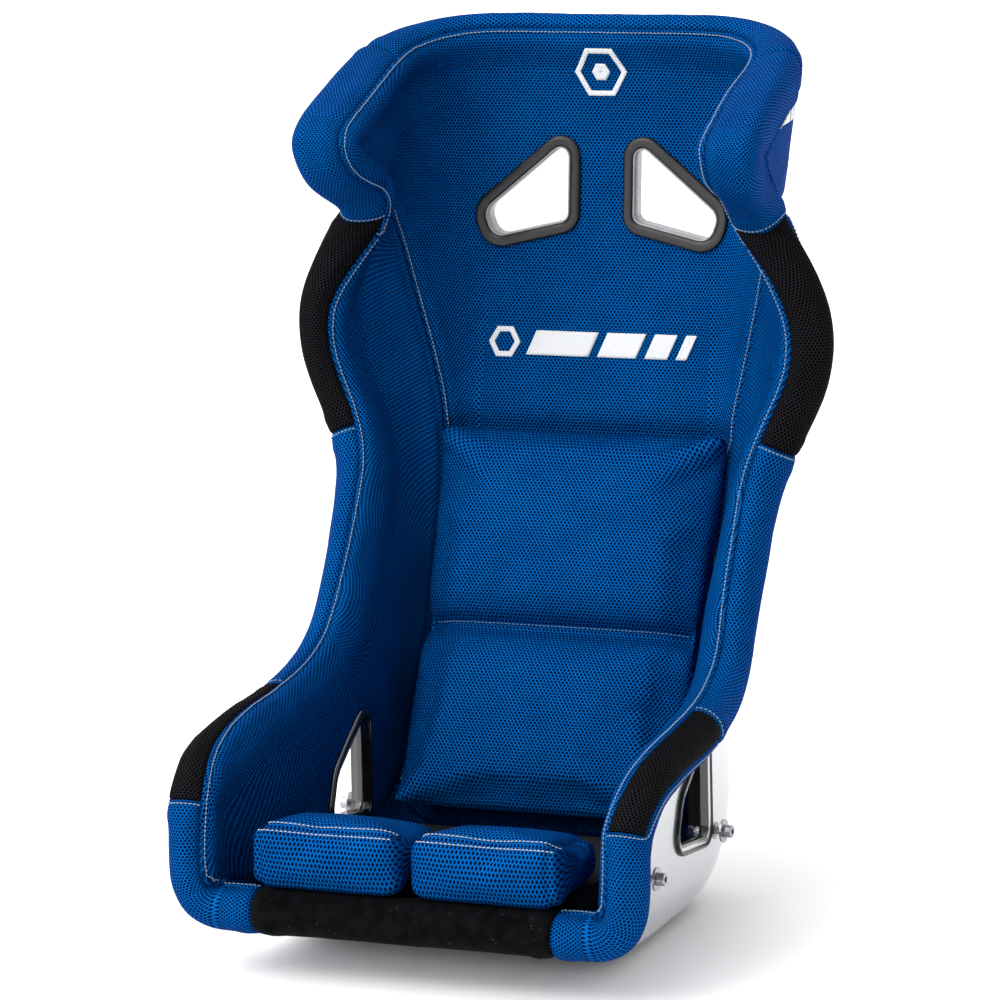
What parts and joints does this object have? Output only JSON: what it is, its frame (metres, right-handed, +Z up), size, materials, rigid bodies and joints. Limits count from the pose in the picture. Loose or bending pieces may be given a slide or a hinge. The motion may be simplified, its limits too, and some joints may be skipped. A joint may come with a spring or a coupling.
{
  "type": "racing seat",
  "caption": "Fixed-back racing bucket seat: moulded shell with head wings, mesh-covered bolsters, belt slots, loose back and thigh pads and threaded side fixings.",
  "frame": {"origin": "centre of the seat's box, on the floor under it", "axes": "+Z up; the sitter faces -Y; +X is the sitter's left"},
  "size_m": [0.5908, 0.6315, 0.8723],
  "materials": {
    "silver_shell": "high gloss silver lacquer over moulded composite",
    "blue_mesh": "matt open spacer mesh, mid blue",
    "black_mesh": "matt open spacer mesh, black",
    "black_suede": "short napped suede cloth, black",
    "black_plastic": "satin moulded plastic, black",
    "grey_sleeve": "smooth light grey lacquer",
    "rubber_seal": "glossy black rubber edging",
    "bright_steel": "bright zinc plate",
    "zinc_insert": "plain zinc plate",
    "hook_tape": "woven hook tape, black",
    "base_foam": "black cloth over foam"
  },
  "bodies": {
    "seat": {"back_hook_tape_left": "hook_tape", "back_hook_tape_right": "hook_tape", "backrest_lining": "blue_mesh", "crotch_slot_grommet": "black_plastic", "front_lip_trim": "black_suede", "head_top_roll": "blue_mesh", "head_wing_cover_left": "blue_mesh", "head_wing_cover_right": "blue_mesh", "head_wing_pad_left": "blue_mesh", "head_wing_pad_right": "blue_mesh", "headrest_lining": "blue_mesh", "lap_slot_bezel_left": "black_plastic", "lap_slot_bezel_right": "black_plastic", "lap_slot_seal_left": "rubber_seal", "lap_slot_seal_right": "rubber_seal", "lap_slot_sleeve_left": "black_plastic", "lap_slot_sleeve_right": "black_plastic", "seat_base_pad": "base_foam", "seat_pan_lining": "blue_mesh", "shell": "silver_shell", "shoulder_bolster_left": "blue_mesh", "shoulder_bolster_right": "blue_mesh", "shoulder_patch_left": "black_mesh", "shoulder_patch_right": "black_mesh", "shoulder_slot_bezel_left": "black_plastic", "shoulder_slot_bezel_right": "black_plastic", "shoulder_slot_seal_left": "rubber_seal", "shoulder_slot_seal_right": "rubber_seal", "shoulder_slot_sleeve_left": "grey_sleeve", "shoulder_slot_sleeve_right": "grey_sleeve", "side_bolster_left": "blue_mesh", "side_bolster_right": "blue_mesh", "side_lining_left": "blue_mesh", "side_lining_right": "blue_mesh", "side_mount_bolt_front_left": "bright_steel", "side_mount_bolt_front_right": "bright_steel", "side_mount_bolt_rear_left": "bright_steel", "side_mount_bolt_rear_right": "bright_steel", "side_mount_insert_front_left": "zinc_insert", "side_mount_insert_front_right": "zinc_insert", "side_mount_insert_rear_left": "zinc_insert", "side_mount_insert_rear_right": "zinc_insert", "side_mount_washer_front_left": "bright_steel", "side_mount_washer_front_right": "bright_steel", "side_mount_washer_rear_left": "bright_steel", "side_mount_washer_rear_right": "bright_steel", "thigh_bolster_left": "blue_mesh", "thigh_bolster_right": "blue_mesh", "thigh_hook_tape_left": "hook_tape", "thigh_hook_tape_right": "hook_tape", "thigh_patch_left": "black_mesh", "thigh_patch_right": "black_mesh"},
    "back_cushion": {"back_cushion": "blue_mesh"},
    "thigh_cushion_left": {"thigh_cushion_left": "blue_mesh"},
    "thigh_cushion_right": {"thigh_cushion_right": "blue_mesh"}
  },
  "joints": [
    {"name": "back_cushion_lift", "type": "slide", "parent": "seat", "child": "back_cushion", "axis": [0, -0.9026, 0.4305], "range_m": [0, 0.15]},
    {"name": "thigh_cushion_left_lift", "type": "slide", "parent": "seat", "child": "thigh_cushion_left", "axis": [0, -0.6, 0.8], "range_m": [0, 0.2]},
    {"name": "thigh_cushion_right_lift", "type": "slide", "parent": "seat", "child": "thigh_cushion_right", "axis": [0, -0.6, 0.8], "range_m": [0, 0.2]}
  ]
}
